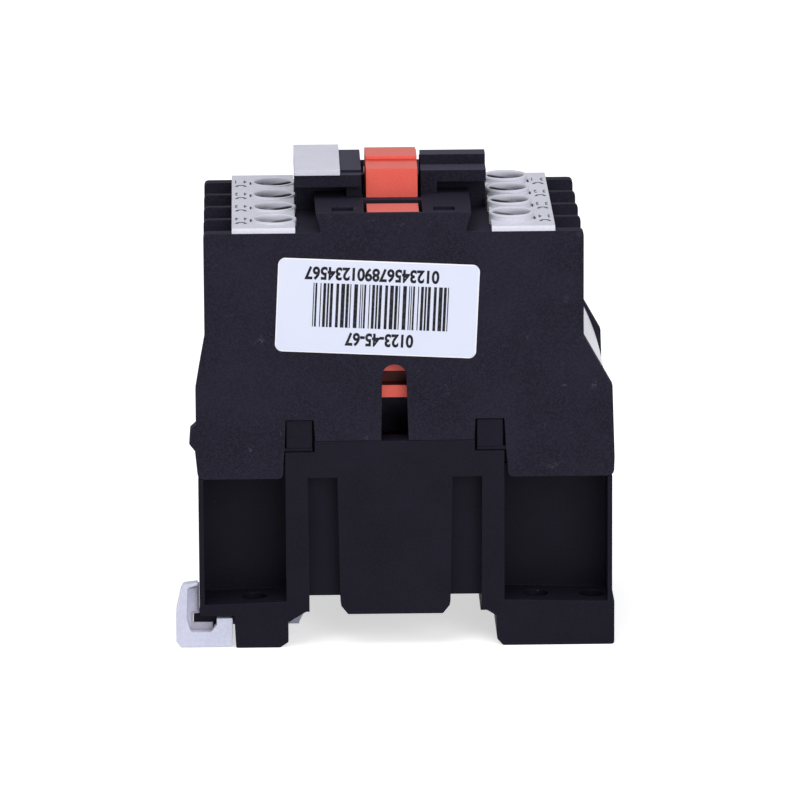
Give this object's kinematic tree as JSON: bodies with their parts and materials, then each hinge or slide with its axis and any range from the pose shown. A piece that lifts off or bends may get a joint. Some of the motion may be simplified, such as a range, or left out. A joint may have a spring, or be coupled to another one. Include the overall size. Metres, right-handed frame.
{
  "type": "control relay",
  "caption": "Compact block relay for rail or panel mounting, with screw clamp terminals along both edges, a sliding contact carrier over an E-core magnet, and a sprung rail clip.",
  "frame": {"origin": "on the panel plane under the feet, at the centre of the 50 mm by 35 mm screw pattern, which is the axis of the magnet and carrier", "axes": "+X along the terminal rows from the rail-clip end to the coil-terminal end, +Y across the poles, +Z from the panel to the front of the relay"},
  "size_m": [0.0777, 0.045, 0.0847],
  "materials": {
    "housing_black": "fine spark-eroded mould texture",
    "base_black": "smooth satin",
    "signal_orange": "satin, orange-red",
    "plate_white": "smooth satin",
    "label_grey": "smooth satin, bare",
    "clip_white": "slightly translucent, smooth",
    "bobbin_cream": "satin",
    "core_steel": "laminated, oiled",
    "zinc_steel": "zinc plated",
    "spring_steel": "drawn wire",
    "contact_brass": "bright, with silver tips",
    "winding_copper": "enamelled copper wire",
    "buffer_rubber": "matte"
  },
  "bodies": {
    "housing": {"base_housing": "base_black", "upper_housing": "housing_black", "side_wall_near": "housing_black", "side_wall_far": "housing_black", "end_wall_left": "housing_black", "end_wall_right": "housing_black", "aux_block_left": "housing_black", "aux_block_right": "housing_black", "contact_block_left": "housing_black", "contact_block_right": "housing_black", "pole_rib_left_1": "housing_black", "pole_rib_left_2": "housing_black", "pole_rib_left_3": "housing_black", "pole_rib_right_1": "housing_black", "pole_rib_right_2": "housing_black", "pole_rib_right_3": "housing_black", "fixed_core": "core_steel", "core_buffer": "buffer_rubber", "shading_rings": "winding_copper", "coil_bobbin": "bobbin_cream", "coil_winding": "winding_copper", "return_springs": "spring_steel", "coil_terminal_1": "contact_brass", "coil_terminal_2": "contact_brass", "coil_screw_1": "zinc_steel", "coil_screw_2": "zinc_steel", "fixed_contact_1": "contact_brass", "fixed_contact_2": "contact_brass", "fixed_contact_3": "contact_brass", "fixed_contact_4": "contact_brass", "fixed_contact_5": "contact_brass", "fixed_contact_6": "contact_brass", "fixed_contact_7": "contact_brass", "fixed_contact_8": "contact_brass", "terminal_screw_1": "zinc_steel", "terminal_screw_2": "zinc_steel", "terminal_screw_3": "zinc_steel", "terminal_screw_4": "zinc_steel", "terminal_screw_5": "zinc_steel", "terminal_screw_6": "zinc_steel", "terminal_screw_7": "zinc_steel", "terminal_screw_8": "zinc_steel", "marking_plate_left": "plate_white", "marking_plate_right": "plate_white", "label_plate": "label_grey", "end_plate": "plate_white", "clip_spring": "spring_steel"},
    "carrier": {"contact_carrier": "signal_orange", "moving_core": "core_steel", "core_key": "zinc_steel", "contact_spring_1": "spring_steel", "contact_spring_2": "spring_steel", "contact_spring_3": "spring_steel", "contact_spring_4": "spring_steel"},
    "bridge_1": {"moving_bridge_1": "contact_brass"},
    "bridge_2": {"moving_bridge_2": "contact_brass"},
    "bridge_3": {"moving_bridge_3": "contact_brass"},
    "bridge_4": {"moving_bridge_4": "contact_brass"},
    "clip": {"rail_clip": "clip_white"}
  },
  "joints": [
    {"name": "carrier_travel", "type": "slide", "parent": "housing", "child": "carrier", "axis": [0, 0, -1], "range_m": [0, 0.0055], "stiffness_N_per_m": 600, "springref_m": -0.005, "deforming": ["return_springs"]},
    {"name": "clip_pull", "type": "slide", "parent": "housing", "child": "clip", "axis": [-1, 0, 0], "range_m": [0, 0.004], "stiffness_N_per_m": 1500, "springref_m": -0.003, "deforming": ["clip_spring"]},
    {"name": "bridge_1_overtravel", "type": "slide", "parent": "carrier", "child": "bridge_1", "axis": [0, 0, 1], "range_m": [0, 0.002], "stiffness_N_per_m": 400, "springref_m": -0.002, "deforming": ["contact_spring_1"]},
    {"name": "bridge_2_overtravel", "type": "slide", "parent": "carrier", "child": "bridge_2", "axis": [0, 0, 1], "range_m": [0, 0.002], "stiffness_N_per_m": 400, "springref_m": -0.002, "deforming": ["contact_spring_2"]},
    {"name": "bridge_3_overtravel", "type": "slide", "parent": "carrier", "child": "bridge_3", "axis": [0, 0, 1], "range_m": [0, 0.002], "stiffness_N_per_m": 400, "springref_m": -0.002, "deforming": ["contact_spring_3"]},
    {"name": "bridge_4_overtravel", "type": "slide", "parent": "carrier", "child": "bridge_4", "axis": [0, 0, 1], "range_m": [0, 0.002], "stiffness_N_per_m": 400, "springref_m": -0.002, "deforming": ["contact_spring_4"]}
  ],
  "couplings": [
    {"joint": "bridge_1_overtravel", "follows": "carrier_travel", "ratio": 0.3636},
    {"joint": "bridge_2_overtravel", "follows": "carrier_travel", "ratio": 0.3636},
    {"joint": "bridge_3_overtravel", "follows": "carrier_travel", "ratio": 0.3636},
    {"joint": "bridge_4_overtravel", "follows": "carrier_travel", "ratio": 0.3636}
  ]
}
